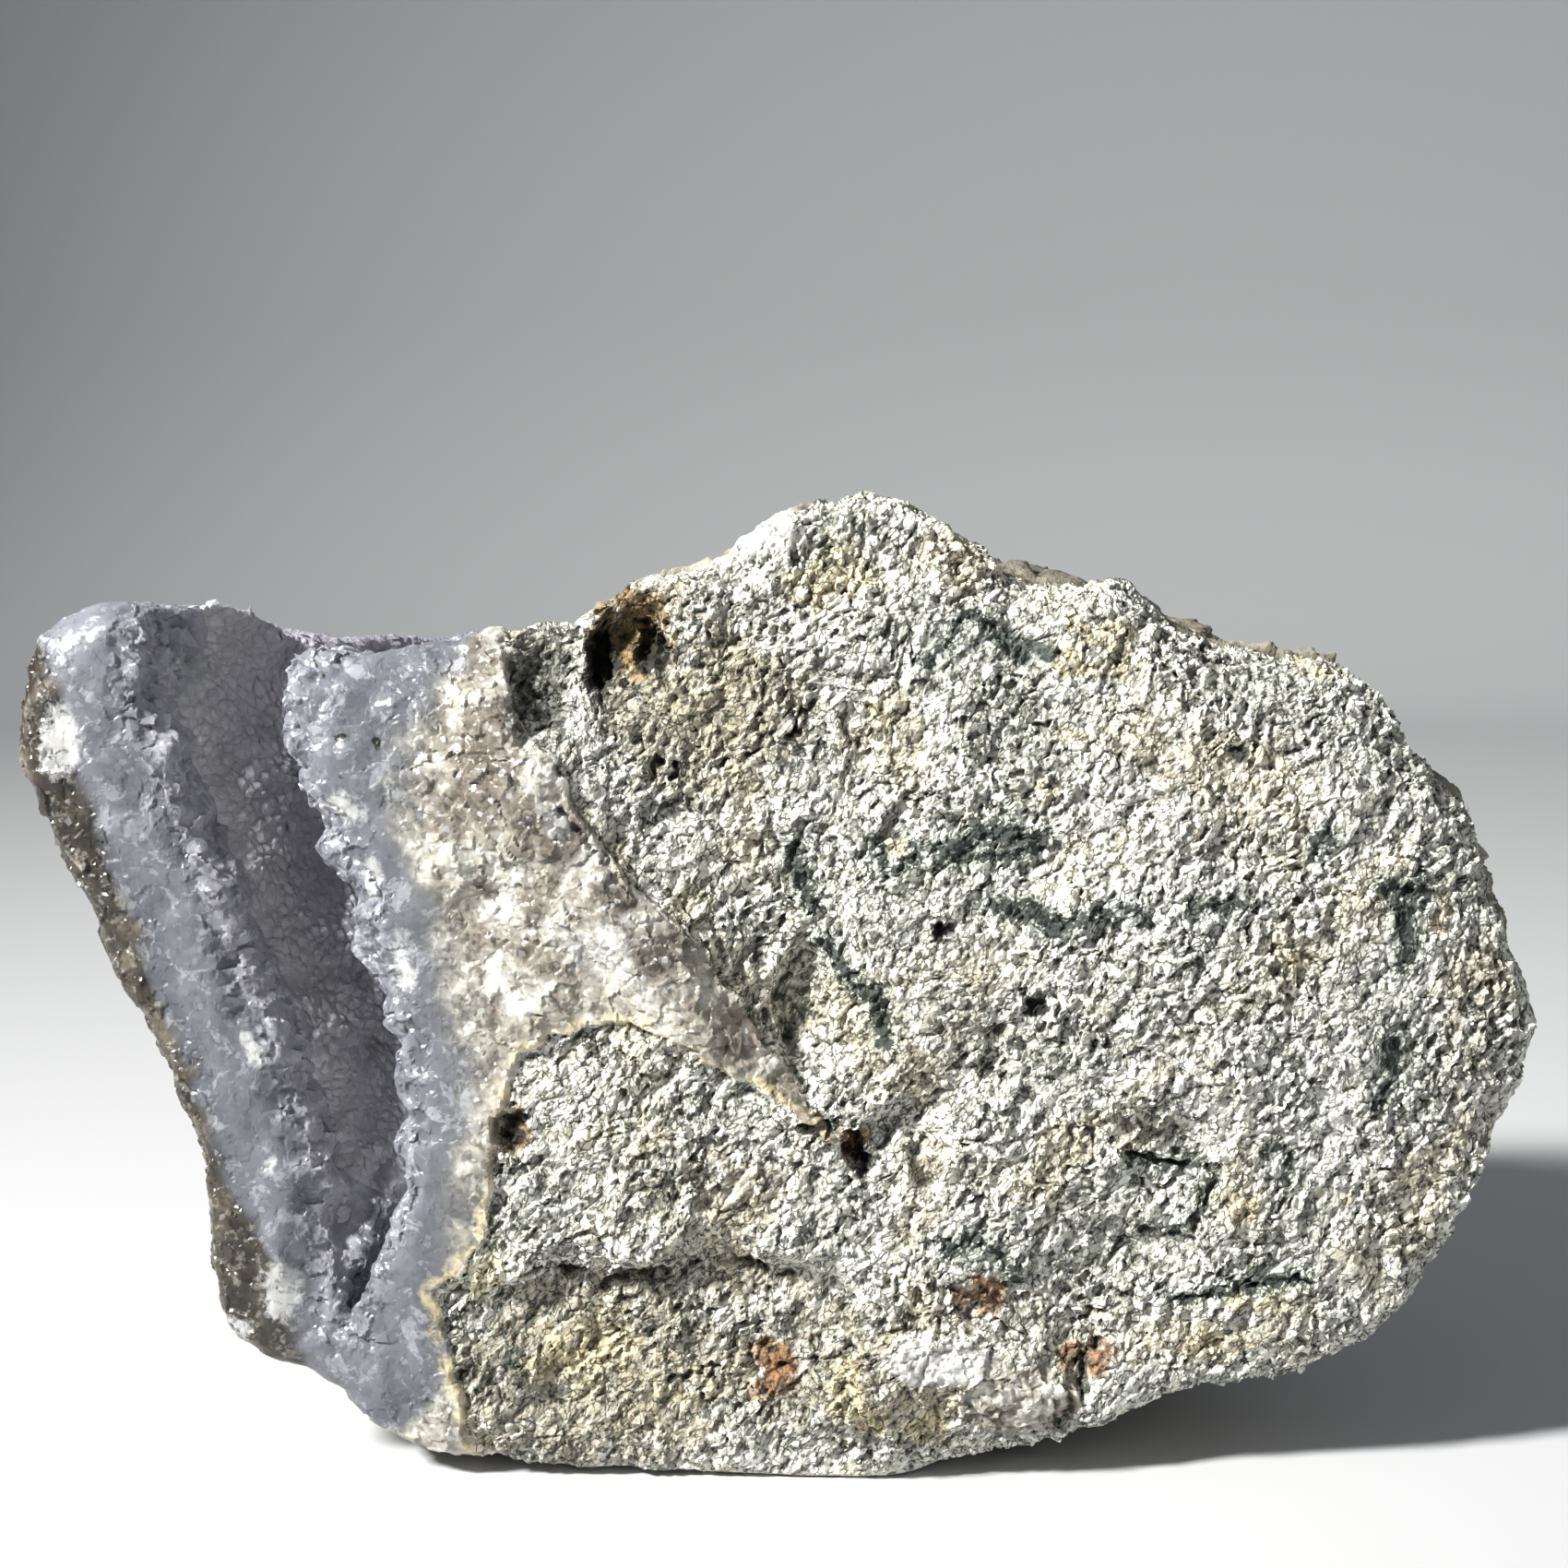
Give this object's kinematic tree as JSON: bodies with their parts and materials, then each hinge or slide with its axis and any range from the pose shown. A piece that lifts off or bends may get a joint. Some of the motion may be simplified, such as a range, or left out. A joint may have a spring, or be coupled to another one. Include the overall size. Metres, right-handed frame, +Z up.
{
  "type": "blue lace agate specimen",
  "caption": "Rough blue lace agate specimen: pale host rock crossed by a crystal vein, with an open cleft lined by a druzy blue-grey crust. Rests on a flat base.",
  "frame": {"origin": "middle of the outline's box, at the height of the flat base", "axes": "+X to the right along the broken face, +Y from the broken face towards the weathered back, +Z up"},
  "size_m": [0.1208, 0.0534, 0.0786],
  "materials": {
    "host_rock": "rough broken face, granular pale rock with a sugary quartz and blue-grey chalcedony vein, weathered cortex behind",
    "druzy_quartz": "glassy druse of millimetre crystals, lavender grey"
  },
  "bodies": {
    "root": {"stone": "host_rock", "druzy_crust": "druzy_quartz"}
  },
  "joints": []
}
